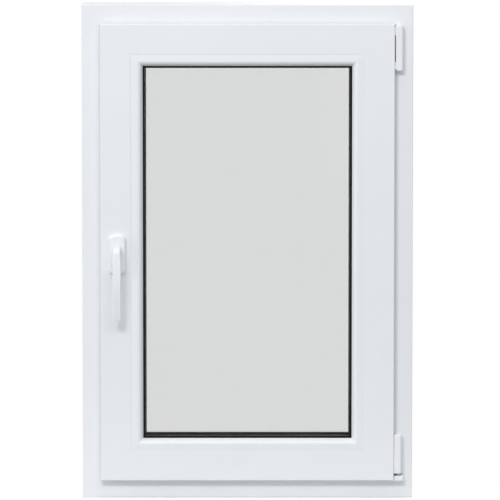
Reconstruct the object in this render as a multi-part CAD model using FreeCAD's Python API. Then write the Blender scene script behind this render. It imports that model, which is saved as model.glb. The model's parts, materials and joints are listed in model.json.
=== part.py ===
import FreeCAD, Part
import math
import os
from FreeCAD import Rotation, Vector

# Tilt and turn window of hollow plastic profiles with double glazing, closed.
# Millimetres. Z is up, the room is on the -Y side, the outdoors on the +Y side.
# The origin is the middle of the frame's underside.
# Sections are drawn in two directions: u runs inward from the window's outer edge
# towards the middle of the glass, and y is the depth.

# Window
window_width = 600.0
window_height = 900.0

# Frame profile
frame_depth = 70.0
frame_face_width = 33.5
frame_stop_height = 24.0
frame_edge_radius = 1.5
clip_groove_width = 6.0
clip_groove_depth = 3.0
clip_groove_spacing = 44.0

# Sash profile
sash_depth = 70.0
sash_height = 77.0
sash_proud = 17.0
sash_overlap = 8.0
hardware_gap = 12.0
sash_edge_radius = 1.8
sash_joint_radius = 0.5
glazing_rebate_height = 22.0
outer_leg_thickness = 15.0
hardware_groove_width = 16.0
hardware_groove_depth = 8.0
hardware_groove_inset = 13.5

# Profile walls
outer_wall = 2.8
inner_web = 1.2
web_shares = (0.2, 0.63, 0.82)
gasket_groove_wall = 1.5

# Gaskets
overlap_gasket_thickness = 2.8
overlap_gasket_width = 6.0
stop_gasket_thickness = 3.0
stop_gasket_width = 9.0
glazing_gasket_thickness = 3.5
glazing_gasket_width = 9.5
bead_gasket_lip = 3.9
bead_gasket_lip_rise = 2.0
outer_gasket_lip = 5.5
gasket_lip_edge = 0.6
gasket_root_width = 2.6
gasket_root_depth = 3.6
gasket_root_clearance = 0.2
gasket_root_inset = 3.0

# Glazing bead
bead_height = 21.9
bead_crest_from_joint = 13.5
bead_crest_proud = 0.5
bead_joint_drop = 0.5
bead_slope_share = 0.5
bead_slope_drop = 2.4
bead_nose_drop = 12.0
bead_crest_radius = 6.0
bead_slope_radius = 6.0
bead_nose_radius = 1.0
bead_joint_radius = 0.4
bead_foot_width = 2.6
bead_foot_depth = 2.8
bead_foot_clearance = 0.2
bead_foot_from_back = 11.0

# Double glazed unit
pane_thickness = 4.0
pane_gap = 16.0
glass_edge_clearance = 6.0
spacer_height = 6.5
edge_seal_depth = 4.0
setting_block_length = 100.0
setting_block_from_end = 25.0

# Handle
spindle_from_frame_edge = 64.0
spindle_above_rosette_middle = 7.0
rosette_width = 30.0
rosette_height = 73.0
rosette_thickness = 10.5
rosette_crown = 2.2
rosette_crown_radius = 60.0
rosette_corner_radius = 5.0
rosette_rim_chamfer = 2.2
neck_diameter = 16.6
neck_running_fit = 0.1
neck_collar_length = 4.0
lever_width = 15.0
lever_standoff = 50.0
lever_length = 126.5
lever_top_setback = 7.0
lever_end_setback = 15.0
lever_crest_share = 0.5
lever_bow_share = 0.82
lever_thickness = 11.5
lever_end_thickness = 9.5
neck_height = 15.5
lever_outer_bend = 13.0
lever_inner_bend = 6.0
lever_edge_radius = 4.0
spindle_side = 7.0
spindle_length = 38.0
spindle_bore_clearance = 0.6

# Hinges, on the right
hinge_axis_from_frame_edge = 25.4
hinge_axis_off_frame = 9.0
hinge_pin_diameter = 5.4
hinge_pin_fit = 0.05
knuckle_diameter = 8.0
knuckle_gap = 0.3
cover_width = 13.8
cover_wall = 1.1
cover_edge_radius = 4.0
cover_flush_radius = 0.8
cover_inner_radius = 2.4
cover_end_radius = 3.8
leaf_thickness = 2.5
upper_cover_length = 84.8
upper_cover_outset = -0.2
bearing_end_gap = 1.0
bearing_knuckle_length = 24.0
bearing_plate_thickness = 2.0
arm_slot_length = 51.0
arm_slot_depth = 14.0
arm_slot_clearance = 0.4
arm_drop = 4.0
lower_cover_length = 71.4
lower_cover_above_frame = 46.6
lower_cover_outset = -0.9
lower_leaf_length = 40.0
corner_block_width = 17.0
corner_block_height = 10.0
corner_block_depth = 15.0
corner_block_chamfer = 1.6
corner_block_base = 32.0
corner_block_gap = 0.5
pivot_depth_in_block = 7.0
pivot_depth_in_knuckle = 25.0

# Drainage, outside of the sill rail
drain_slot_length = 28.0
drain_slot_height = 5.0
drain_slot_above_base = 12.0
drain_slot_from_end = 130.0
drain_cap_border = 5.0
drain_cap_thickness = 3.5
drain_cap_wall = 1.2

# Modelling aids: how far a cut runs past a face, and how near counts as on a face
beyond = 1.0
near = 0.01

# Places that follow from the sizes above
room_y = -frame_depth / 2
outdoor_y = frame_depth / 2
rebate_u = frame_face_width + sash_overlap
stop_u = rebate_u + frame_stop_height
sash_room_y = room_y - sash_proud
sash_outdoor_y = sash_room_y + sash_depth
stop_y = sash_outdoor_y + stop_gasket_thickness
overlap_back_y = room_y - overlap_gasket_thickness
sash_u = rebate_u + hardware_gap
leg_u = frame_face_width + sash_height
seat_u = leg_u - glazing_rebate_height
leg_y = sash_outdoor_y - outer_leg_thickness
glass_outdoor_y = leg_y - glazing_gasket_thickness
glass_room_y = glass_outdoor_y - 2 * pane_thickness - pane_gap
bead_back_y = glass_room_y - glazing_gasket_thickness
bead_u = seat_u + bead_height
glass_u = seat_u + glass_edge_clearance
groove_width = gasket_root_width + 2 * gasket_root_clearance
groove_depth = gasket_root_depth + gasket_root_clearance
foot_y = bead_back_y - bead_foot_from_back
foot_groove_depth = bead_foot_depth + bead_foot_clearance
reach = frame_depth + sash_depth

spindle_x = -window_width / 2 + spindle_from_frame_edge
rosette_z = window_height / 2
spindle_z = rosette_z + spindle_above_rosette_middle
rosette_front_y = sash_room_y - rosette_thickness
neck_bore_diameter = neck_diameter + 2 * neck_running_fit
spindle_bore_diameter = math.hypot(spindle_side, spindle_side) + 2 * spindle_bore_clearance

hinge_x = window_width / 2 - hinge_axis_from_frame_edge
hinge_y = room_y - hinge_axis_off_frame
hinge_bore = hinge_pin_diameter + 2 * hinge_pin_fit
leaf_x = hinge_x - knuckle_diameter / 2
sash_edge_x = window_width / 2 - frame_face_width
sash_body_x = window_width / 2 - sash_u
upper_cover_top = window_height - frame_face_width
upper_cover_base = upper_cover_top - upper_cover_length
upper_middle = (upper_cover_top + upper_cover_base) / 2
corner_block_top = corner_block_base + corner_block_height
lower_cover_base = lower_cover_above_frame
lower_cover_top = lower_cover_base + lower_cover_length
leaf_base = (lower_cover_base + lower_cover_top - lower_leaf_length) / 2
leaf_top = leaf_base + lower_leaf_length


def rounded_wire(corners):
    """Closed flat wire through (point, radius) corners, each rounded by its radius."""
    starts = []
    ends = []
    arcs = []
    for index, (point, radius) in enumerate(corners):
        before = (corners[index - 1][0] - point).normalize()
        after = (corners[(index + 1) % len(corners)][0] - point).normalize()
        if radius == 0:
            starts.append(point)
            ends.append(point)
            arcs.append(None)
            continue
        half = before.getAngle(after) / 2
        towards = (before + after).normalize()
        start = point + before * (radius / math.tan(half))
        end = point + after * (radius / math.tan(half))
        middle = point + towards * (radius / math.sin(half) - radius)
        starts.append(start)
        ends.append(end)
        arcs.append(Part.Arc(start, middle, end).toShape())
    edges = []
    for index in range(len(corners)):
        following = (index + 1) % len(corners)
        if arcs[index]:
            edges.append(arcs[index])
        edges.append(Part.makeLine(ends[index], starts[following]))
    return Part.Wire(edges)


def section(corners):
    """Flat section face from (u, y, radius) corners."""
    return Part.Face(rounded_wire([(Vector(0, y, u), radius) for u, y, radius in corners]))


def cell(u_low, u_high, y_low, y_high):
    """Rectangular cell of a section."""
    corners = [(u_low, y_low, 0), (u_high, y_low, 0), (u_high, y_high, 0), (u_low, y_high, 0)]
    return section(corners)


def chambers(u_low, u_high, y_low, y_high, shares):
    """Cells in a row across the depth, divided by webs at the given shares of the depth."""
    walls = [y_low - inner_web / 2]
    walls += [y_low + share * (y_high - y_low) for share in shares]
    walls += [y_high + inner_web / 2]
    cells = []
    for front, back in zip(walls, walls[1:]):
        cells.append(cell(u_low, u_high, front + inner_web / 2, back - inner_web / 2))
    return cells


def box(x_low, x_high, y_low, y_high, z_low, z_high):
    """Box between two corners."""
    size = (x_high - x_low, y_high - y_low, z_high - z_low)
    return Part.makeBox(*size, Vector(x_low, y_low, z_low))


def upright(diameter, x, y, z_low, z_high):
    """Vertical cylinder."""
    return Part.makeCylinder(diameter / 2, z_high - z_low, Vector(x, y, z_low), Vector(0, 0, 1))


def mitred_bar(face, outside_length):
    """Bar along X with its outer edge on Z = 0 and both ends cut at 45 degrees."""
    half = outside_length / 2
    face = face.copy()
    face.translate(Vector(-half, 0, 0))
    bar = face.extrude(Vector(outside_length, 0, 0))
    ends = Part.makePolygon([
        Vector(-half, -reach, 0),
        Vector(half, -reach, 0),
        Vector(0, -reach, half),
        Vector(-half, -reach, 0),
    ])
    return bar.common(Part.Face(ends).extrude(Vector(0, 2 * reach, 0)))


def on_side(face, side):
    """Mitred bar of the section on one side of the window."""
    across = side in ("top", "bottom")
    bar = mitred_bar(face, window_width if across else window_height)
    turns = {"bottom": 0, "top": 180, "left": 90, "right": -90}
    places = {
        "bottom": Vector(0, 0, 0),
        "top": Vector(0, 0, window_height),
        "left": Vector(-window_width / 2, 0, window_height / 2),
        "right": Vector(window_width / 2, 0, window_height / 2),
    }
    bar.Placement = FreeCAD.Placement(places[side], Rotation(Vector(0, 1, 0), turns[side]))
    return bar


def ring(face):
    """One closed frame of the section round all four sides."""
    bars = [on_side(face, side) for side in ("bottom", "top", "left", "right")]
    return bars[0].fuse(bars[1:]).removeSplitter()


def save(shape, name):
    """Write one node."""
    shape.exportStep(os.path.join("parts", name + ".step"))


def frame_section():
    """L-shaped frame section with a stop outdoors, chambers and clip grooves."""
    edge = frame_edge_radius
    face = section([
        (0, room_y, edge),
        (rebate_u, room_y, edge),
        (rebate_u, stop_y, 0),
        (stop_u, stop_y, edge / 2),
        (stop_u, outdoor_y, edge),
        (0, outdoor_y, edge),
    ])
    grooves = []
    for centre in (-clip_groove_spacing / 2, clip_groove_spacing / 2):
        half = clip_groove_width / 2
        grooves.append(cell(-beyond, clip_groove_depth, centre - half, centre + half))
    root_u = stop_u - gasket_root_inset - groove_width
    grooves.append(cell(root_u, root_u + groove_width, stop_y, stop_y + groove_depth))
    hollows = chambers(
        clip_groove_depth + outer_wall, rebate_u - outer_wall,
        room_y + outer_wall, outdoor_y - outer_wall, web_shares)
    stop_chamber_y = stop_y + groove_depth + gasket_groove_wall
    hollows += chambers(
        rebate_u - outer_wall + inner_web, stop_u - outer_wall,
        stop_chamber_y, outdoor_y - outer_wall, ())
    return face.cut(grooves + hollows)


def sash_section():
    """Z-shaped sash section: overlap indoors, glazing leg outdoors, grooves and chambers."""
    face = section([
        (frame_face_width, sash_room_y, sash_edge_radius),
        (seat_u, sash_room_y, sash_joint_radius),
        (seat_u, leg_y, 0),
        (leg_u, leg_y, 0),
        (leg_u, sash_outdoor_y, sash_joint_radius),
        (sash_u, sash_outdoor_y, sash_joint_radius),
        (sash_u, overlap_back_y, 0),
        (frame_face_width, overlap_back_y, sash_joint_radius),
    ])
    overlap_root = rebate_u - gasket_root_inset - groove_width + gasket_root_clearance
    leg_root = leg_u - gasket_root_inset - groove_width
    hardware_y = overlap_back_y + hardware_groove_inset
    foot_half = bead_foot_width / 2 + bead_foot_clearance
    grooves = [
        cell(overlap_root, overlap_root + groove_width, overlap_back_y - groove_depth, overlap_back_y),
        cell(leg_root, leg_root + groove_width, leg_y, leg_y + groove_depth),
        cell(sash_u, sash_u + hardware_groove_depth, hardware_y, hardware_y + hardware_groove_width),
        cell(seat_u - foot_groove_depth, seat_u, foot_y - foot_half, foot_y + foot_half),
    ]
    body_low = sash_u + hardware_groove_depth + outer_wall
    body_high = seat_u - foot_groove_depth - outer_wall
    hollows = chambers(
        body_low, body_high,
        sash_room_y + outer_wall, sash_outdoor_y - outer_wall, web_shares)
    hollows += chambers(
        frame_face_width + outer_wall, body_low - inner_web,
        sash_room_y + outer_wall, overlap_back_y - groove_depth - gasket_groove_wall, ())
    hollows += chambers(
        body_high + inner_web, leg_u - outer_wall,
        leg_y + groove_depth + gasket_groove_wall, sash_outdoor_y - outer_wall, ())
    return face.cut(grooves + hollows)


def bead_section():
    """Crowned glazing bead with the foot that clips into the sash."""
    crest_u = seat_u + bead_crest_from_joint
    crest_y = sash_room_y - bead_crest_proud
    slope_u = crest_u + bead_slope_share * (bead_u - crest_u)
    face = section([
        (seat_u, bead_back_y, 0),
        (seat_u, sash_room_y + bead_joint_drop, bead_joint_radius),
        (crest_u, crest_y, bead_crest_radius),
        (slope_u, crest_y + bead_slope_drop, bead_slope_radius),
        (bead_u, crest_y + bead_nose_drop, bead_nose_radius),
        (bead_u, bead_back_y, 0),
    ])
    half = bead_foot_width / 2
    foot = cell(seat_u - bead_foot_depth, seat_u, foot_y - half, foot_y + half)
    return face.fuse(foot).removeSplitter()


def overlap_gasket_section():
    """Gasket between the sash overlap and the room face of the frame."""
    inner_u = rebate_u - gasket_lip_edge
    root_u = rebate_u - gasket_root_inset - gasket_root_width
    strip = cell(inner_u - overlap_gasket_width, inner_u, overlap_back_y, room_y)
    root = cell(root_u, root_u + gasket_root_width, overlap_back_y - gasket_root_depth, overlap_back_y)
    return strip.fuse(root).removeSplitter()


def stop_gasket_section():
    """Gasket between the outdoor side of the sash and the frame's stop."""
    root_u = stop_u - gasket_root_inset - gasket_root_clearance - gasket_root_width
    strip = section([
        (stop_u - stop_gasket_width, sash_outdoor_y, 0),
        (stop_u + gasket_lip_edge, sash_outdoor_y, 0),
        (stop_u - gasket_lip_edge, stop_y, 0),
        (stop_u - stop_gasket_width, stop_y, 0),
    ])
    root = cell(root_u, root_u + gasket_root_width, stop_y, stop_y + gasket_root_depth)
    return strip.fuse(root).removeSplitter()


def bead_gasket_section():
    """Gasket between the bead and the inner pane, with the lip that shows indoors."""
    return section([
        (bead_u - glazing_gasket_width, glass_room_y, 0),
        (bead_u + bead_gasket_lip, glass_room_y, 0),
        (bead_u + bead_gasket_lip, glass_room_y - gasket_lip_edge, 0),
        (bead_u, bead_back_y - bead_gasket_lip_rise, 0),
        (bead_u, bead_back_y, 0),
        (bead_u - glazing_gasket_width, bead_back_y, 0),
    ])


def outer_gasket_section():
    """Gasket between the outer pane and the sash's glazing leg, with its outdoor lip."""
    root_u = leg_u - gasket_root_inset - gasket_root_clearance - gasket_root_width
    strip = section([
        (leg_u - glazing_gasket_width, glass_outdoor_y, 0),
        (leg_u + outer_gasket_lip, glass_outdoor_y, 0),
        (leg_u + outer_gasket_lip, glass_outdoor_y + gasket_lip_edge, 0),
        (leg_u, leg_y, 0),
        (leg_u - glazing_gasket_width, leg_y, 0),
    ])
    root = cell(root_u, root_u + gasket_root_width, leg_y, leg_y + gasket_root_depth)
    return strip.fuse(root).removeSplitter()


def make_frame():
    """Outer frame of four welded bars."""
    face = frame_section()
    save(on_side(face, "top"), "frame_head")
    save(on_side(face, "left"), "frame_left_jamb")

    # Slot beside the sash edge where the stay arm passes through the right jamb
    arm_slot = box(
        window_width / 2 - rebate_u - beyond, leaf_x + leaf_thickness + arm_slot_clearance,
        room_y - beyond, room_y + arm_slot_depth,
        upper_middle - arm_slot_length / 2, upper_middle + arm_slot_length / 2)
    save(on_side(face, "right").cut(arm_slot), "frame_right_jamb")

    # Drainage slots through the outdoor wall of the sill rail
    slots = []
    for middle in drain_places():
        slots.append(box(
            middle - drain_slot_length / 2, middle + drain_slot_length / 2,
            outdoor_y - outer_wall, outdoor_y + beyond,
            drain_slot_above_base, drain_slot_above_base + drain_slot_height))
    save(on_side(face, "bottom").cut(slots), "frame_sill_rail")
    save(ring(stop_gasket_section()), "frame_stop_gasket")


def drain_places():
    """Middles of the two drainage slots along the sill."""
    offset = window_width / 2 - drain_slot_from_end
    return (-offset, offset)


def make_drainage_caps():
    """Hooded caps over the drainage slots, open underneath."""
    caps = []
    for middle in drain_places():
        half = drain_slot_length / 2 + drain_cap_border
        base = drain_slot_above_base - drain_cap_border
        top = drain_slot_above_base + drain_slot_height + drain_cap_border
        front = outdoor_y + drain_cap_thickness
        cap = box(middle - half, middle + half, outdoor_y, front, base, top)
        rim = [edge for edge in cap.Edges if edge.BoundBox.YMin > front - near]
        cap = cap.makeFillet(drain_cap_wall, rim)
        hollow = box(
            middle - drain_slot_length / 2, middle + drain_slot_length / 2,
            outdoor_y - beyond, front - drain_cap_wall,
            base - beyond, drain_slot_above_base + drain_slot_height)
        caps.append(cap.cut(hollow))
    save(Part.makeCompound(caps), "drainage_caps")


def make_sash():
    """Opening sash of four welded bars."""
    face = sash_section()
    save(on_side(face, "top"), "sash_top_rail")
    save(on_side(face, "bottom"), "sash_bottom_rail")
    save(on_side(face, "right"), "sash_right_stile")
    bore = Part.makeCylinder(
        spindle_bore_diameter / 2, spindle_length + 2 * beyond,
        Vector(spindle_x, sash_room_y - beyond, spindle_z), Vector(0, 1, 0))
    save(on_side(face, "left").cut(bore), "sash_left_stile")

    # The overlap gasket is notched where the lower hinge leaf passes under it
    notch = box(
        window_width / 2 - rebate_u, sash_edge_x,
        overlap_back_y - groove_depth - beyond, room_y + beyond,
        leaf_base - knuckle_gap, leaf_top + knuckle_gap)
    save(ring(overlap_gasket_section()).cut(notch), "sash_overlap_gasket")


def make_glazing():
    """Glazing beads, gaskets and the double glazed unit on its setting blocks."""
    bead = bead_section()
    for side in ("top", "bottom", "left", "right"):
        save(on_side(bead, side), "glazing_bead_" + side)
    save(ring(bead_gasket_section()), "bead_gasket")
    save(ring(outer_gasket_section()), "outer_glazing_gasket")

    half = window_width / 2 - glass_u
    base = glass_u
    top = window_height - glass_u
    inner_back = glass_room_y + pane_thickness
    outer_front = glass_outdoor_y - pane_thickness
    save(box(-half, half, glass_room_y, inner_back, base, top), "inner_pane")
    save(box(-half, half, outer_front, glass_outdoor_y, base, top), "outer_pane")
    seal_u = glass_u + edge_seal_depth
    save(ring(cell(glass_u, seal_u, inner_back, outer_front)), "edge_seal")
    save(ring(cell(seal_u, seal_u + spacer_height, inner_back, outer_front)), "spacer_bar")

    blocks = []
    for side in (-1, 1):
        middle = side * (half - setting_block_from_end - setting_block_length / 2)
        blocks.append(box(
            middle - setting_block_length / 2, middle + setting_block_length / 2,
            glass_room_y, glass_outdoor_y, seat_u, glass_u))
    save(Part.makeCompound(blocks), "setting_blocks")


def make_rosette():
    """Moulded rosette with a crowned top, bored for the lever's neck."""
    half = rosette_width / 2
    low = rosette_z - rosette_height / 2
    high = rosette_z + rosette_height / 2
    corners = [
        (spindle_x - half, low, rosette_corner_radius),
        (spindle_x + half, low, rosette_corner_radius),
        (spindle_x + half, high - rosette_crown, rosette_corner_radius),
        (spindle_x, high, rosette_crown_radius),
        (spindle_x - half, high - rosette_crown, rosette_corner_radius),
    ]
    wire = rounded_wire([(Vector(x, sash_room_y, z), radius) for x, z, radius in corners])
    body = Part.Face(wire).extrude(Vector(0, -rosette_thickness, 0))
    rim = [edge for edge in body.Edges if edge.BoundBox.YMax < rosette_front_y + near]
    body = body.makeChamfer(rosette_rim_chamfer, rim)
    bore = Part.makeCylinder(
        neck_bore_diameter / 2, rosette_thickness + 2 * beyond,
        Vector(spindle_x, sash_room_y + beyond, spindle_z), Vector(0, -1, 0))
    save(body.cut(bore), "handle_rosette")


def make_lever():
    """Cranked lever: a round neck out of the rosette and a bowed grip hanging down."""
    crest_y = sash_room_y - lever_standoff
    top_y = crest_y + lever_top_setback
    end_y = crest_y + lever_end_setback
    neck_top = spindle_z + neck_height / 2
    neck_low = spindle_z - neck_height / 2
    end = spindle_z - lever_length
    crest_z = neck_top - lever_crest_share * (neck_top - end)
    start = rosette_front_y - neck_collar_length

    # The bow takes a share of the straight stretch between the inner bend and the crest
    turn = math.atan2(lever_top_setback, neck_top - crest_z)
    turn += math.atan2(lever_end_setback, crest_z - end)
    bow = lever_bow_share * (neck_low - lever_inner_bend - crest_z)
    bow_radius = bow / math.tan(turn / 2)
    side_view = [
        (start, neck_low, 0),
        (start, neck_top, 0),
        (top_y, neck_top, lever_outer_bend),
        (crest_y, crest_z, bow_radius + lever_thickness),
        (end_y, end, 0),
        (end_y + lever_end_thickness, end, 0),
        (crest_y + lever_thickness, crest_z, bow_radius),
        (top_y + lever_thickness, neck_low, lever_inner_bend),
    ]
    left = spindle_x - lever_width / 2
    wire = rounded_wire([(Vector(left, y, z), radius) for y, z, radius in side_view])
    body = Part.Face(wire).extrude(Vector(lever_width, 0, 0))
    long_edges = []
    for edge in body.Edges:
        bounds = edge.BoundBox
        on_flank = bounds.XLength < near
        at_end = bounds.ZMax < end + near
        at_start = bounds.YMin > start - near
        if on_flank and not at_end and not at_start:
            long_edges.append(edge)
    body = body.makeFillet(lever_edge_radius, long_edges)
    hidden = rosette_thickness - 2 * neck_running_fit
    neck = Part.makeCylinder(
        neck_diameter / 2, hidden + neck_collar_length,
        Vector(spindle_x, rosette_front_y + hidden, spindle_z), Vector(0, -1, 0))
    collar_edge = [edge for edge in neck.Edges if edge.BoundBox.YMax < start + near]
    neck = neck.makeChamfer((neck_diameter - lever_width) / 2, collar_edge)
    save(body.fuse(neck).removeSplitter(), "handle_lever")

    # Square spindle from the neck's end into the sash
    half = spindle_side / 2
    neck_end = rosette_front_y + hidden
    spindle = box(
        spindle_x - half, spindle_x + half,
        neck_end, neck_end + spindle_length,
        spindle_z - half, spindle_z + half)
    save(spindle, "handle_spindle")


def cover_form(middle, half, back_y, front_y, radii, base, top):
    """Upright bar with a flat back and front corners of the two radii."""
    corners = [
        (middle - half, back_y, 0),
        (middle - half, front_y, radii[0]),
        (middle + half, front_y, radii[1]),
        (middle + half, back_y, 0),
    ]
    wire = rounded_wire([(Vector(x, y, base), radius) for x, y, radius in corners])
    return Part.Face(wire).extrude(Vector(0, 0, top - base))


def hinge_cover(outset, left_radius, base, top):
    """Moulded cover over a knuckle, hollow and open at the back and underneath."""
    middle = hinge_x + outset
    half = cover_width / 2
    front_y = hinge_y - half
    radii = (left_radius, cover_edge_radius)
    outer = cover_form(middle, half, room_y, front_y, radii, base, top)
    crown = []
    for edge in outer.Edges:
        bounds = edge.BoundBox
        if bounds.ZMin > top - near and bounds.YMax < room_y - near:
            crown.append(edge)
    outer = outer.makeFillet(cover_end_radius, crown)
    inner_radii = [max(radius - cover_wall, 0) for radius in radii]
    hollow = cover_form(
        middle, half - cover_wall, room_y + beyond, front_y + cover_wall,
        inner_radii, base - beyond, top - cover_end_radius)
    return outer.cut(hollow)


def make_upper_hinge():
    """Stay bearing on the frame, stay arm from the sash, their pin and the cover."""
    cover = hinge_cover(upper_cover_outset, cover_inner_radius, upper_cover_base, upper_cover_top)
    save(cover, "upper_hinge_cover")

    # Bearing: two knuckles on webs from one plate
    low_base = upper_cover_base + bearing_end_gap
    low_top = low_base + bearing_knuckle_length
    high_top = upper_cover_top - cover_end_radius - bearing_end_gap
    high_base = high_top - bearing_knuckle_length
    bearing = box(
        leaf_x + leaf_thickness, hinge_x + knuckle_diameter / 2,
        room_y - bearing_plate_thickness, room_y, low_base, high_top)
    for base, top in ((low_base, low_top), (high_base, high_top)):
        knuckle = upright(knuckle_diameter, hinge_x, hinge_y, base, top)
        web = box(leaf_x + leaf_thickness, hinge_x + leaf_thickness, hinge_y, room_y, base, top)
        bearing = bearing.fuse([knuckle, web])
    bearing = bearing.cut(upright(hinge_bore, hinge_x, hinge_y, low_base - beyond, high_top + beyond))
    save(bearing.removeSplitter(), "stay_bearing")

    # Stay arm: an eye between the knuckles, cranked back into the gap behind the sash
    eye_base = low_top + knuckle_gap
    eye_top = high_base - knuckle_gap
    leaf_back = room_y + arm_drop + leaf_thickness
    eye = upright(knuckle_diameter, hinge_x, hinge_y, eye_base, eye_top)
    crank = box(leaf_x, leaf_x + leaf_thickness, hinge_y, leaf_back, eye_base, eye_top)
    arm = box(
        sash_body_x, leaf_x + leaf_thickness,
        leaf_back - leaf_thickness, leaf_back, eye_base, eye_top)
    eye = eye.fuse([crank, arm])
    eye = eye.cut(upright(hinge_bore, hinge_x, hinge_y, eye_base - beyond, eye_top + beyond))
    save(eye.removeSplitter(), "stay_arm")
    save(upright(hinge_pin_diameter, hinge_x, hinge_y, low_base, high_top), "stay_hinge_pin")


def make_lower_hinge():
    """Corner bearing on the frame, corner hinge from the sash, their pivot and the cover."""
    leaf_notch = box(
        hinge_x - cover_width, hinge_x,
        overlap_back_y - knuckle_gap, room_y + beyond,
        leaf_base - knuckle_gap, leaf_top + knuckle_gap)
    cover = hinge_cover(lower_cover_outset, cover_flush_radius, lower_cover_base, lower_cover_top)
    save(cover.cut(leaf_notch), "lower_hinge_cover")

    block_left = sash_edge_x + corner_block_gap
    block = box(
        block_left, block_left + corner_block_width,
        room_y - corner_block_depth, room_y, corner_block_base, corner_block_top)
    front = [edge for edge in block.Edges if edge.BoundBox.YMax < room_y - near]
    block = block.makeChamfer(corner_block_chamfer, front)
    pivot_base = corner_block_top - pivot_depth_in_block
    block = block.cut(upright(hinge_bore, hinge_x, hinge_y, pivot_base, corner_block_top + beyond))
    save(block, "corner_bearing")

    pivot_top = lower_cover_base + pivot_depth_in_knuckle
    save(upright(hinge_pin_diameter, hinge_x, hinge_y, pivot_base, pivot_top), "pivot_pin")

    knuckle_top = lower_cover_top - cover_end_radius - bearing_end_gap
    leaf_front = overlap_back_y + leaf_thickness
    knuckle = upright(knuckle_diameter, hinge_x, hinge_y, lower_cover_base, knuckle_top)
    leaf = box(sash_body_x, hinge_x, overlap_back_y, leaf_front, leaf_base, leaf_top)
    web = box(hinge_x - leaf_thickness, hinge_x, hinge_y, leaf_front, leaf_base, leaf_top)
    hinge = knuckle.fuse([leaf, web])
    hinge = hinge.cut(upright(hinge_bore, hinge_x, hinge_y, lower_cover_base - beyond, pivot_top))
    save(hinge.removeSplitter(), "corner_hinge")


os.makedirs("parts", exist_ok=True)
make_frame()
make_drainage_caps()
make_sash()
make_glazing()
make_rosette()
make_lever()
make_upper_hinge()
make_lower_hinge()
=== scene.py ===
import json
import math
import bmesh
import bpy
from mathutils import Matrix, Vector


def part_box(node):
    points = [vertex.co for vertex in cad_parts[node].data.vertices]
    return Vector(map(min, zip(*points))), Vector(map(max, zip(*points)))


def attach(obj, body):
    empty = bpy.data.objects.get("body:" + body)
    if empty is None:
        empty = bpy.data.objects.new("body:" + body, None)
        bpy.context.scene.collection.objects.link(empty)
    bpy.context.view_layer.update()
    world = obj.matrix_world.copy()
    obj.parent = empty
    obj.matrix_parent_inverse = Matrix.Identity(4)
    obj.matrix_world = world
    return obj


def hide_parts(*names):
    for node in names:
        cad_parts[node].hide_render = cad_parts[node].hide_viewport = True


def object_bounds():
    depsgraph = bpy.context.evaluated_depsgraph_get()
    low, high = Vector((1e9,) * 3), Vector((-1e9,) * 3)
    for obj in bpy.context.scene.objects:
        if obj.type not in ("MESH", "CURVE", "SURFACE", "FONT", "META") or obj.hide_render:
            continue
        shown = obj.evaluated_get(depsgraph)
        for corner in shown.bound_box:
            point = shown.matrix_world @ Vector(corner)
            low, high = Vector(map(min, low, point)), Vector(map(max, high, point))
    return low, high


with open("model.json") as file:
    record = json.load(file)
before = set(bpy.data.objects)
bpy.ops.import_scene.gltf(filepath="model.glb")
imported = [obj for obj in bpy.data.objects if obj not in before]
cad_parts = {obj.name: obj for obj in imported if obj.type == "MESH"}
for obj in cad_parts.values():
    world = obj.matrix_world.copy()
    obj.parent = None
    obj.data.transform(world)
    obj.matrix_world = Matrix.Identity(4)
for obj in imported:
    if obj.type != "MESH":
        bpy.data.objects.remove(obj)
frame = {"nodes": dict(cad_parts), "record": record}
cad_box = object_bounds()
nodes = frame["nodes"]

# Colours, linear
PVC_WHITE = (0.86, 0.885, 0.91)
COVER_WHITE = (0.86, 0.875, 0.89)
HANDLE_WHITE = (0.87, 0.90, 0.91)
RUBBER_BLACK = (0.006, 0.006, 0.0065)
GLASS_TINT = (0.916, 0.918, 0.918)
STEEL_GREY = (0.42, 0.42, 0.43)
# Dark steel of the hinge parts, also the near-black of the strip that paints the shade in the
# upper cover's slot
STEEL_DARK_AND_SLOT_SHADE = (0.035, 0.035, 0.037)
SPACER_GREY = (0.50, 0.51, 0.52)
SEALANT_BLACK = (0.02, 0.02, 0.022)
PACKER_BLUE = (0.05, 0.12, 0.30)
FLOOR_WHITE = (0.68, 0.68, 0.68)
BACKDROP_WHITE = (1, 1, 1)
ROOM_WHITE = (0.97, 0.985, 1.0)

# Opaque finishes: colour, its drift either way, roughness, grain in features per metre, depth of
# the grain in metres, metallic, and what else is set on the shader
PROFILE_FINISH = (PVC_WHITE, 0.008, 0.34, 1400.0, 0.00002, 0.0, {"Specular IOR Level": 0.25})
FINISHES = {
    "frame_profile": PROFILE_FINISH,
    "sash_profile": PROFILE_FINISH,
    "bead_profile": PROFILE_FINISH,
    "gasket": (RUBBER_BLACK, 0.25, 0.62, 2200.0, 0.00006, 0.0, {"Specular IOR Level": 0.12}),
    "spacer": (SPACER_GREY, 0.06, 0.38, 600.0, 0.00004, 0.9, {}),
    "sealant": (SEALANT_BLACK, 0.2, 0.55, 300.0, 0.0002, 0.0, {}),
    "block": (PACKER_BLUE, 0.1, 0.5, 500.0, 0.0001, 0.0, {}),
    "handle": (
        HANDLE_WHITE, 0.01, 0.3, 2600.0, 0.00003, 0.0,
        {"Coat Weight": 0.3, "Coat Roughness": 0.12}),
    "hinge_cover": (COVER_WHITE, 0.01, 0.26, 1800.0, 0.00002, 0.0, {}),
    "hinge_white": (HANDLE_WHITE, 0.01, 0.3, 2600.0, 0.00003, 0.0, {}),
    "hinge_steel": (STEEL_GREY, 0.1, 0.4, 900.0, 0.00004, 1.0, {}),
    # Also dresses the near-black strip that paints the shade in the upper cover's slot
    "hinge_dark": (STEEL_DARK_AND_SLOT_SHADE, 0.15, 0.55, 900.0, 0.00004, 0.3, {}),
}
FLOOR_FINISH = (FLOOR_WHITE, 0.004, 0.6, 60.0, 0.0001, 0.0, {"Emission Color": (1, 1, 1, 1)})
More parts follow.
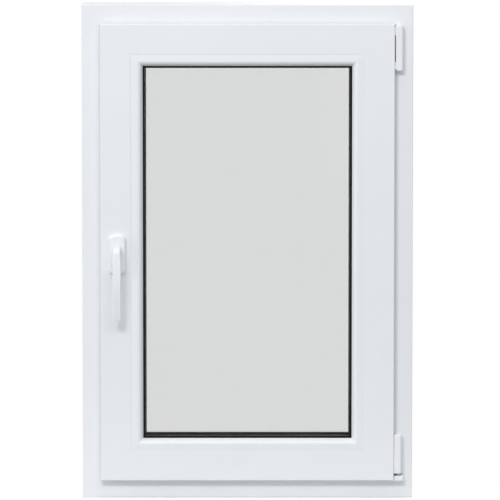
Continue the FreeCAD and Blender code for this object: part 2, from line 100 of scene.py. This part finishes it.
NOISE_RANGE = (0.3, 0.7)
DRIFT_SCALE = 9.0
DRIFT_DETAIL = 3.0
GRAIN_DETAIL = 4.0
GRAIN_STRENGTH = 0.25
ROUGHNESS_DRIFT = 0.04

# Glass: roughness, share of mirror seen square on, how it rises towards the rim, and its ripple
GLASS_ROUGHNESS = 0.02
GLASS_MIRROR_FACING = 0.04
GLASS_MIRROR_POWER = 5.0
RIPPLE_SCALE = 2.5
RIPPLE_DETAIL = 1.0
RIPPLE_STRENGTH = 0.05
RIPPLE_DEPTH = 0.001

# Light: each lamp's place from the window's middle, its width, height and power
KEY_DISTANCE = 6.0
KEY_TRAVEL = Vector((0.33, 1.0, -0.66))
LAMPS = {
    "key": (-KEY_TRAVEL.normalized() * KEY_DISTANCE, 1.2, 1.2, 78.0),
    "side": (Vector((-4.0, -1.2, 1.0)), 1.5, 1.5, 30.0),
    "front": (Vector((0.2, -3.6, 2.6)), 4.5, 1.0, 53.0),
    "above": (Vector((0.0, -1.5, 5.0)), 2.5, 2.5, 42.0),
    "fill": (Vector((1.6, 5.5, 1.0)), 3.0, 3.0, 105.0),
}
AMBIENT = 0.41

# Floor, in metres, and the light that the camera sees it give so that it meets the backdrop
FLOOR_REACH = 1.5
FLOOR_FRONT_Y = -0.4
FLOOR_LIFT = 0.37

# Camera: its place in metres, and the photo's scale and middle in pixels
CAMERA_DISTANCE = 10.0
CAMERA_ELEVATION = math.radians(6.3)
CAMERA_SENSOR = 36.0
CAMERA_CLIP = 100.0
IMAGE_PIXELS = 500
PIXELS_PER_METRE = 548.9
PHOTO_CENTRE = (247.45, 250.2)

# Window, in millimetres like all the sizes below, as in the part's source
MM = 0.001
SASH_FACE_Y = -52.0
FRAME_FACE_Y = -35.0
WINDOW_MIDDLE_Z = 450.0

# Rosette
SPINDLE_X = -236.0
SPINDLE_Z = 457.0
ROSETTE_FRONT_Y = -62.5
ROSETTE_LOW = 413.5
ROSETTE_HIGH = 486.5
ROSETTE_HALF = 15.0
ROSETTE_CROWN = 6.5
ROSETTE_CROWN_RADIUS = 22.0
ROSETTE_CORNER = 7.0
ROSETTE_RIM = 3.2

# Lever and its neck
NECK_RADIUS = 8.3
NECK_BORE_RADIUS = 8.4
NECK_FRONT_Y = -69.0
NECK_FRONT_RIM = 1.2
NECK_BACK_RIM = 0.3
NECK_BACK_GAP = 0.2
LEVER_HALF = 7.5
LEVER_TOP = 464.75
LEVER_NECK_LOW = 449.25
LEVER_END = 330.5
LEVER_CREST_Z = 397.625
LEVER_CREST_Y = -102.0
LEVER_TOP_Y = -95.0
LEVER_END_Y = -87.0
LEVER_THICKNESS = 11.5
LEVER_END_THICKNESS = 9.5
LEVER_BOW_RADIUS = 229.0
LEVER_SHOULDER_RADIUS = 13.0
LEVER_INNER_RADIUS = 6.0
LEVER_END_RADIUS = 2.3
LEVER_EDGE = 2.1
LEVER_SHOULDER_EDGE = 4.6
LEVER_SHOULDER_Z = (436.0, 462.0)

# Upper hinge cover, its lips, and the near-black strip of painted shade in its side slot
COVER_LEFT = 267.5
COVER_RIGHT = 281.3
COVER_FRONT_Y = -50.9
COVER_TOP = 865.0
COVER_BASE = 780.2
COVER_CORNER = 5.0
COVER_RIM = 3.4
COVER_WALL = 1.1
COVER_LIP_LEFT = 265.7
COVER_LIP_FRONT_Y = -49.4
COVER_LIP_EDGE = 0.3
SLOT_BASE = 797.5
SLOT_TOP = 845.5
# Near-black strip across the side slot, painted shade of the slot's deep cavity: its x span,
# front and edge
SLOT_SHADE_STRIP = (265.5, 267.4)
SLOT_SHADE_STRIP_FRONT_Y = -50.2
SLOT_SHADE_STRIP_EDGE = 0.2

# Bead gasket: half the opening between the beads' noses, and the section as (y, reach into the
# opening from the nose)
BEAD_OPENING_HALF_WIDTH = 189.6
BEAD_OPENING_HALF_HEIGHT = 339.6
GASKET_SECTION = [
    (-40.1, 0.05), (-39.6, 3.5), (-39.0, 3.8), (-24.5, 3.9),
    (-24.5, -9.5), (-28.0, -9.5), (-28.0, 0.05)]

# Meshes
CIRCLE_STEPS = 64
MERGE_DISTANCE = 1e-6
SHARP_ANGLE = math.radians(40)


def node_tree(name):
    """New material with its nodes emptied, and its output."""
    material = bpy.data.materials.new(name)
    material.use_nodes = True
    tree = material.node_tree
    tree.nodes.clear()
    output = tree.nodes.new("ShaderNodeOutputMaterial")
    return material, tree, output


def noise(tree, scale, detail):
    """Noise in object coordinates, in features per metre."""
    coordinates = tree.nodes.new("ShaderNodeTexCoord")
    texture = tree.nodes.new("ShaderNodeTexNoise")
    texture.inputs["Scale"].default_value = scale
    texture.inputs["Detail"].default_value = detail
    tree.links.new(coordinates.outputs["Object"], texture.inputs["Vector"])
    return texture.outputs["Fac"]


def spread(tree, factor, low, high):
    """Map the usual range of a noise to a range of values."""
    node = tree.nodes.new("ShaderNodeMapRange")
    node.inputs["From Min"].default_value = NOISE_RANGE[0]
    node.inputs["From Max"].default_value = NOISE_RANGE[1]
    node.inputs["To Min"].default_value = low
    node.inputs["To Max"].default_value = high
    tree.links.new(factor, node.inputs["Value"])
    return node.outputs["Result"]


def shades(tree, factor, colour, change):
    """Colour that varies a little either way with a noise."""
    ramp = tree.nodes.new("ShaderNodeValToRGB")
    for index, share in enumerate((1 - change, 1 + change)):
        element = ramp.color_ramp.elements[index]
        element.position = NOISE_RANGE[index]
        element.color = [min(1, part * share) for part in colour] + [1]
    tree.links.new(factor, ramp.inputs["Fac"])
    return ramp.outputs["Color"]


def bump(tree, height, strength, distance):
    """Bump from a height."""
    node = tree.nodes.new("ShaderNodeBump")
    node.inputs["Strength"].default_value = strength
    node.inputs["Distance"].default_value = distance
    tree.links.new(height, node.inputs["Height"])
    return node.outputs["Normal"]


def surface(name, finish):
    """Opaque finish: slow colour drift, roughness that varies, and a fine grain in its bump."""
    colour, change, roughness, grain, grain_depth, metallic, settings = finish
    material, tree, output = node_tree(name)
    shader = tree.nodes.new("ShaderNodeBsdfPrincipled")
    drift = noise(tree, DRIFT_SCALE, DRIFT_DETAIL)
    fine = noise(tree, grain, GRAIN_DETAIL)
    varied = spread(tree, fine, roughness - ROUGHNESS_DRIFT, roughness + ROUGHNESS_DRIFT)
    tree.links.new(shades(tree, drift, colour, change), shader.inputs["Base Color"])
    tree.links.new(varied, shader.inputs["Roughness"])
    tree.links.new(bump(tree, fine, GRAIN_STRENGTH, grain_depth), shader.inputs["Normal"])
    shader.inputs["Metallic"].default_value = metallic
    for socket, value in settings.items():
        shader.inputs[socket].default_value = value
    tree.links.new(shader.outputs["BSDF"], output.inputs["Surface"])
    return material, shader


def clear_glass():
    """Clear glass pane: tinted see-through body with a mirror-like surface."""
    material, tree, output = node_tree("float_glass")
    clear = tree.nodes.new("ShaderNodeBsdfTransparent")
    clear.inputs["Color"].default_value = (*GLASS_TINT, 1)
    gloss = tree.nodes.new("ShaderNodeBsdfGlossy")
    gloss.inputs["Roughness"].default_value = GLASS_ROUGHNESS
    facing = tree.nodes.new("ShaderNodeLayerWeight")
    facing.inputs["Blend"].default_value = 0.5
    rise = tree.nodes.new("ShaderNodeMath")
    rise.operation = "POWER"
    rise.inputs[1].default_value = GLASS_MIRROR_POWER
    mirror = tree.nodes.new("ShaderNodeMath")
    mirror.operation = "MULTIPLY_ADD"
    mirror.inputs[1].default_value = 1 - GLASS_MIRROR_FACING
    mirror.inputs[2].default_value = GLASS_MIRROR_FACING
    ripple = noise(tree, RIPPLE_SCALE, RIPPLE_DETAIL)
    wave = bump(tree, ripple, RIPPLE_STRENGTH, RIPPLE_DEPTH)
    tree.links.new(wave, gloss.inputs["Normal"])
    mix = tree.nodes.new("ShaderNodeMixShader")
    tree.links.new(facing.outputs["Facing"], rise.inputs[0])
    tree.links.new(rise.outputs["Value"], mirror.inputs[0])
    tree.links.new(mirror.outputs["Value"], mix.inputs["Fac"])
    tree.links.new(clear.outputs["BSDF"], mix.inputs[1])
    tree.links.new(gloss.outputs["BSDF"], mix.inputs[2])
    tree.links.new(mix.outputs["Shader"], output.inputs["Surface"])
    return material


def make_materials():
    """Clear glass, and each opaque finish under its own name."""
    made = {name: surface(name, finish)[0] for name, finish in FINISHES.items()}
    made["glass"] = clear_glass()
    return made


def dress_nodes(materials):
    """Give each CAD node the finish of its slot."""
    for part in frame["record"]["subparts"]:
        mesh = nodes[part["node"]].data
        mesh.materials.clear()
        mesh.materials.append(materials[part["material_slot"]])


def rounded_outline(corners, steps=8):
    """Points of a closed outline of (u, v, radius) corners, each with its inward offset."""
    flat = [Vector(corner[:2]) for corner in corners]
    area = sum(a.x * b.y - b.x * a.y for a, b in zip(flat, flat[1:] + flat[:1]))
    points = []
    for index, corner in enumerate(flat):
        radius = corners[index][2]
        before = (flat[index - 1] - corner).normalized()
        after = (flat[(index + 1) % len(flat)] - corner).normalized()
        half = before.angle(after) / 2
        towards = (before + after).normalized()
        turn = after.x * before.y - after.y * before.x
        inward = 1 if turn * area > 0 else -1
        if radius == 0:
            points.append((corner, towards * inward / math.sin(half)))
            continue
        centre = corner + towards * radius / math.sin(half)
        first = corner + before * radius / math.tan(half) - centre
        last = corner + after * radius / math.tan(half) - centre
        start = math.atan2(first.y, first.x)
        sweep = math.atan2(last.y, last.x) - start
        sweep = (sweep + math.pi) % (2 * math.pi) - math.pi
        for step in range(steps + 1):
            angle = start + sweep * step / steps
            out = Vector((math.cos(angle), math.sin(angle)))
            points.append((centre + out * radius, -out * inward))
    return points


def circle_outline(u, v, radius):
    """Points of a circle, each with its inward offset."""
    points = []
    for step in range(CIRCLE_STEPS):
        angle = 2 * math.pi * step / CIRCLE_STEPS
        out = Vector((math.cos(angle), math.sin(angle)))
        points.append((Vector((u, v)) + out * radius, -out))
    return points


def add_ring(mesh, outline, place, level, edge, tilt):
    """Ring of vertices at a level, drawn in by the rounding of the rim at that tilt."""
    ring = []
    for point, inward in outline:
        radius = edge(point)
        drawn = point + inward * radius * (1 - math.sin(tilt))
        ring.append(mesh.verts.new(place(drawn, level, radius * (1 - math.cos(tilt)))))
    return ring


def add_band(mesh, lower, upper):
    """Faces between two closed rings of vertices."""
    for index in range(len(lower)):
        after = (index + 1) % len(lower)
        mesh.faces.new((lower[index], lower[after], upper[after], upper[index]))


def add_solid(
        mesh, outline, place, low, high, low_edge, high_edge,
        open_high=False, bore=None, steps=6):
    """Solid between two levels of an outline, with both rims rounded, open or bored on request.

    A level goes to place as (where it is, which way its rim's rounding rises).
    """
    rims = [math.pi / 2 * step / steps for step in range(steps + 1)]
    rings = [add_ring(mesh, outline, place, (low, 1), low_edge, tilt) for tilt in rims]
    rings += [
        add_ring(mesh, outline, place, (high, -1), high_edge, tilt) for tilt in reversed(rims)]
    for lower, upper in zip(rings, rings[1:]):
        add_band(mesh, lower, upper)
    if bore is None:
        mesh.faces.new(rings[0][::-1])
        if not open_high:
            mesh.faces.new(rings[-1])
        return
    walls = [
        [mesh.verts.new(place(point, (level, 0), 0)) for point, _ in bore]
        for level in (low, high)]
    add_band(mesh, walls[1], walls[0])
    for ring, wall in ((rings[0], walls[0]), (rings[-1], walls[1])):
        loop = []
        for chain in (ring, wall):
            for a, b in zip(chain, chain[1:] + chain[:1]):
                loop.append(mesh.edges.get((a, b)))
        bmesh.ops.triangle_fill(mesh, use_beauty=True, edges=loop)


def across(point, level, rise):
    """Outline in side view (y, z), levels along x."""
    return (MM * (level[0] + level[1] * rise), MM * point.x, MM * point.y)


def outward(point, level, rise):
    """Outline in front view (x, z), levels along y."""
    return (MM * point.x, MM * (level[0] + level[1] * rise), MM * point.y)


def add_block(mesh, low, high, edge):
    """Block with rounded rims, from its lowest and highest corners."""
    corners = [
        (low[0], low[2], edge), (high[0], low[2], edge),
        (high[0], high[2], edge), (low[0], high[2], edge)]
    add_solid(
        mesh, rounded_outline(corners, 3), outward, low[1], high[1],
        lambda point: edge, lambda point: edge, steps=3)


def finish_piece(name, mesh, material, body, node=None, wall=None):
    """Piece of the scene from its mesh, smooth apart from its sharp edges."""
    bmesh.ops.remove_doubles(mesh, verts=mesh.verts, dist=MERGE_DISTANCE)
    bmesh.ops.recalc_face_normals(mesh, faces=mesh.faces)
    data = bpy.data.meshes.new(name)
    mesh.to_mesh(data)
    mesh.free()
    data.polygons.foreach_set("use_smooth", [True] * len(data.polygons))
    data.set_sharp_from_angle(angle=SHARP_ANGLE)
    piece = bpy.data.objects.new(name, data)
    bpy.context.collection.objects.link(piece)
    data.materials.append(material)
    if wall:
        shell = piece.modifiers.new("wall", "SOLIDIFY")
        shell.thickness = wall
        shell.offset = -1.0
    weighted = piece.modifiers.new("weighted", "WEIGHTED_NORMAL")
    weighted.keep_sharp = True
    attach(piece, body)
    if node:
        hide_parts(node)


def make_rosette(materials):
    """Rosette with an arched top and a soft rim, bored for the neck."""
    left = SPINDLE_X - ROSETTE_HALF
    right = SPINDLE_X + ROSETTE_HALF
    shoulder = ROSETTE_HIGH - ROSETTE_CROWN
    outline = rounded_outline([
        (left, ROSETTE_LOW, ROSETTE_CORNER), (right, ROSETTE_LOW, ROSETTE_CORNER),
        (right, shoulder, ROSETTE_CORNER), (SPINDLE_X, ROSETTE_HIGH, ROSETTE_CROWN_RADIUS),
        (left, shoulder, ROSETTE_CORNER)], 10)
    mesh = bmesh.new()
    add_solid(
        mesh, outline, outward, ROSETTE_FRONT_Y, SASH_FACE_Y,
        lambda point: ROSETTE_RIM, lambda point: 0.0,
        bore=circle_outline(SPINDLE_X, SPINDLE_Z, NECK_BORE_RADIUS))
    finish_piece("rosette_form", mesh, materials["handle"], "window", "handle_rosette")


def lever_edge(point):
    """Edge radius along the lever: crisp on the grip, fuller round the shoulder."""
    low, high = LEVER_SHOULDER_Z
    share = min(1.0, max(0.0, (point.y - low) / (high - low)))
    share = share * share * (3 - 2 * share)
    return LEVER_EDGE + share * (LEVER_SHOULDER_EDGE - LEVER_EDGE)


def make_lever(materials):
    """Bowed lever with crisp edges, and its round neck out of the rosette."""
    start = (ROSETTE_FRONT_Y + NECK_FRONT_Y) / 2
    outline = rounded_outline([
        (start, LEVER_NECK_LOW, 0), (start, LEVER_TOP, 0),
        (LEVER_TOP_Y, LEVER_TOP, LEVER_SHOULDER_RADIUS),
        (LEVER_CREST_Y, LEVER_CREST_Z, LEVER_BOW_RADIUS + LEVER_THICKNESS),
        (LEVER_END_Y, LEVER_END, LEVER_END_RADIUS),
        (LEVER_END_Y + LEVER_END_THICKNESS, LEVER_END, LEVER_END_RADIUS),
        (LEVER_CREST_Y + LEVER_THICKNESS, LEVER_CREST_Z, LEVER_BOW_RADIUS),
        (LEVER_TOP_Y + LEVER_THICKNESS, LEVER_NECK_LOW, LEVER_INNER_RADIUS)], 16)
    mesh = bmesh.new()
    add_solid(
        mesh, outline, across, SPINDLE_X - LEVER_HALF, SPINDLE_X + LEVER_HALF,
        lever_edge, lever_edge)
    add_solid(
        mesh, circle_outline(SPINDLE_X, SPINDLE_Z, NECK_RADIUS), outward,
        NECK_FRONT_Y, SASH_FACE_Y - NECK_BACK_GAP,
        lambda point: NECK_FRONT_RIM, lambda point: NECK_BACK_RIM)
    finish_piece("lever_form", mesh, materials["handle"], "handle", "handle_lever")


def make_upper_cover(materials):
    """Moulded cover with rounded ends, its lips to the sash, and a dark strip of painted slot
    shade.
    """
    outline = rounded_outline([
        (COVER_LEFT, COVER_BASE, COVER_CORNER), (COVER_RIGHT, COVER_BASE, COVER_CORNER),
        (COVER_RIGHT, COVER_TOP, COVER_CORNER), (COVER_LEFT, COVER_TOP, COVER_CORNER)], 8)
    mesh = bmesh.new()
    add_solid(
        mesh, outline, outward, COVER_FRONT_Y, FRAME_FACE_Y,
        lambda point: COVER_RIM, lambda point: 0.0, open_high=True)
    finish_piece(
        "upper_cover_form", mesh, materials["hinge_cover"], "window",
        "upper_hinge_cover", COVER_WALL * MM)
    inner = COVER_LEFT + COVER_WALL / 2
    spans = ((COVER_BASE + COVER_CORNER, SLOT_BASE), (SLOT_TOP, COVER_TOP - COVER_CORNER))
    lips = bmesh.new()
    for low, high in spans:
        add_block(
            lips, (COVER_LIP_LEFT, COVER_LIP_FRONT_Y, low), (inner, FRAME_FACE_Y, high),
            COVER_LIP_EDGE)
    finish_piece("upper_cover_lips", lips, materials["hinge_cover"], "window")
    # Near-black strip across the side slot: painted shade of the slot's deep cavity, in the
    # hinge's dark steel finish
    shade_strip_mesh = bmesh.new()
    add_block(
        shade_strip_mesh, (SLOT_SHADE_STRIP[0], SLOT_SHADE_STRIP_FRONT_Y, SLOT_BASE),
        (SLOT_SHADE_STRIP[1], FRAME_FACE_Y, SLOT_TOP), SLOT_SHADE_STRIP_EDGE)
    finish_piece("slot_shade_strip", shade_strip_mesh, materials["hinge_dark"], "window")


def make_bead_gasket(materials):
    """Glazing gasket that fills up to the bead's nose, mitred at its four corners."""
    mesh = bmesh.new()
    rings = []
    for y, reach in GASKET_SECTION:
        half_width = BEAD_OPENING_HALF_WIDTH - reach
        half_height = BEAD_OPENING_HALF_HEIGHT - reach
        rings.append([
            mesh.verts.new((
                MM * across_sign * half_width, MM * y,
                MM * (WINDOW_MIDDLE_Z + upward_sign * half_height)))
            for across_sign, upward_sign in ((-1, -1), (1, -1), (1, 1), (-1, 1))])
    for ring, following in zip(rings, rings[1:] + rings[:1]):
        add_band(mesh, ring, following)
    finish_piece(
        "bead_gasket_form", mesh, materials["gasket"], "window", "bead_gasket")


def aim(thing, place, target):
    """Put a lamp or camera at a place and point it at a target."""
    thing.location = place
    thing.rotation_euler = (target - place).to_track_quat("-Z", "Y").to_euler()


def area_lamp(name, place, target, width, height, power):
    """Soft box lamp."""
    data = bpy.data.lights.new(name, "AREA")
    data.shape = "RECTANGLE"
    data.size = width
    data.size_y = height
    data.energy = power
    lamp = bpy.data.objects.new(name, data)
    bpy.context.collection.objects.link(lamp)
    aim(lamp, place, target)


def make_lights(centre):
    """The lamps, and a room that gives even light but is white where it is seen or mirrored."""
    for name, (place, width, height, power) in LAMPS.items():
        area_lamp(name, centre + place, centre, width, height, power)

    world = bpy.data.worlds.new("studio")
    bpy.context.scene.world = world
    world.use_nodes = True
    tree = world.node_tree
    tree.nodes.clear()
    output = tree.nodes.new("ShaderNodeOutputWorld")
    white = tree.nodes.new("ShaderNodeBackground")
    white.inputs["Color"].default_value = (*BACKDROP_WHITE, 1)
    white.inputs["Strength"].default_value = 1.0
    even = tree.nodes.new("ShaderNodeBackground")
    even.inputs["Color"].default_value = (*ROOM_WHITE, 1)
    even.inputs["Strength"].default_value = AMBIENT
    path = tree.nodes.new("ShaderNodeLightPath")
    seen_or_mirrored = tree.nodes.new("ShaderNodeMath")
    seen_or_mirrored.operation = "MAXIMUM"
    shown = tree.nodes.new("ShaderNodeMath")
    shown.operation = "MAXIMUM"
    mix = tree.nodes.new("ShaderNodeMixShader")
    tree.links.new(path.outputs["Is Camera Ray"], seen_or_mirrored.inputs[0])
    tree.links.new(path.outputs["Is Glossy Ray"], seen_or_mirrored.inputs[1])
    tree.links.new(seen_or_mirrored.outputs["Value"], shown.inputs[0])
    tree.links.new(path.outputs["Is Transmission Ray"], shown.inputs[1])
    tree.links.new(shown.outputs["Value"], mix.inputs["Fac"])
    tree.links.new(even.outputs["Background"], mix.inputs[1])
    tree.links.new(white.outputs["Background"], mix.inputs[2])
    tree.links.new(mix.outputs["Shader"], output.inputs["Surface"])


def make_floor(base, back):
    """Pale floor under and in front of the window."""
    mesh = bpy.data.meshes.new("floor")
    corners = [
        (-FLOOR_REACH, FLOOR_FRONT_Y, base), (FLOOR_REACH, FLOOR_FRONT_Y, base),
        (FLOOR_REACH, back, base), (-FLOOR_REACH, back, base)]
    mesh.from_pydata(corners, [], [(0, 1, 2, 3)])
    floor = bpy.data.objects.new("floor", mesh)
    bpy.context.collection.objects.link(floor)
    finish, shader = surface("floor_finish", FLOOR_FINISH)
    tree = finish.node_tree
    path = tree.nodes.new("ShaderNodeLightPath")
    lift = tree.nodes.new("ShaderNodeMath")
    lift.operation = "MULTIPLY"
    lift.inputs[1].default_value = FLOOR_LIFT
    tree.links.new(path.outputs["Is Camera Ray"], lift.inputs[0])
    tree.links.new(lift.outputs["Value"], shader.inputs["Emission Strength"])
    mesh.materials.append(finish)


def make_camera(centre):
    """Long lens at the photo's angle, framed as the photo is."""
    data = bpy.data.cameras.new("camera")
    camera = bpy.data.objects.new("camera", data)
    bpy.context.collection.objects.link(camera)
    bpy.context.scene.camera = camera
    view_width = IMAGE_PIXELS / PIXELS_PER_METRE
    data.sensor_width = CAMERA_SENSOR
    data.lens = CAMERA_SENSOR * CAMERA_DISTANCE / view_width
    data.clip_end = CAMERA_CLIP
    back = Vector((0, -math.cos(CAMERA_ELEVATION), math.sin(CAMERA_ELEVATION)))
    up = Vector((0, math.sin(CAMERA_ELEVATION), math.cos(CAMERA_ELEVATION)))
    middle = IMAGE_PIXELS / 2
    target = centre + Vector((middle - PHOTO_CENTRE[0], 0, 0)) / PIXELS_PER_METRE
    target += up * ((PHOTO_CENTRE[1] - middle) / PIXELS_PER_METRE)
    aim(camera, target + back * CAMERA_DISTANCE, target)


bpy.context.scene.view_settings.view_transform = "Standard"
lowest, highest = cad_box
window_low, window_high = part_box("frame_left_jamb")
centre = Vector((0, (window_low.y + window_high.y) / 2, (window_low.z + window_high.z) / 2))
materials = make_materials()
dress_nodes(materials)
make_rosette(materials)
make_lever(materials)
make_upper_cover(materials)
make_bead_gasket(materials)
make_lights(centre)
make_floor(lowest.z, highest.y)
make_camera(centre)
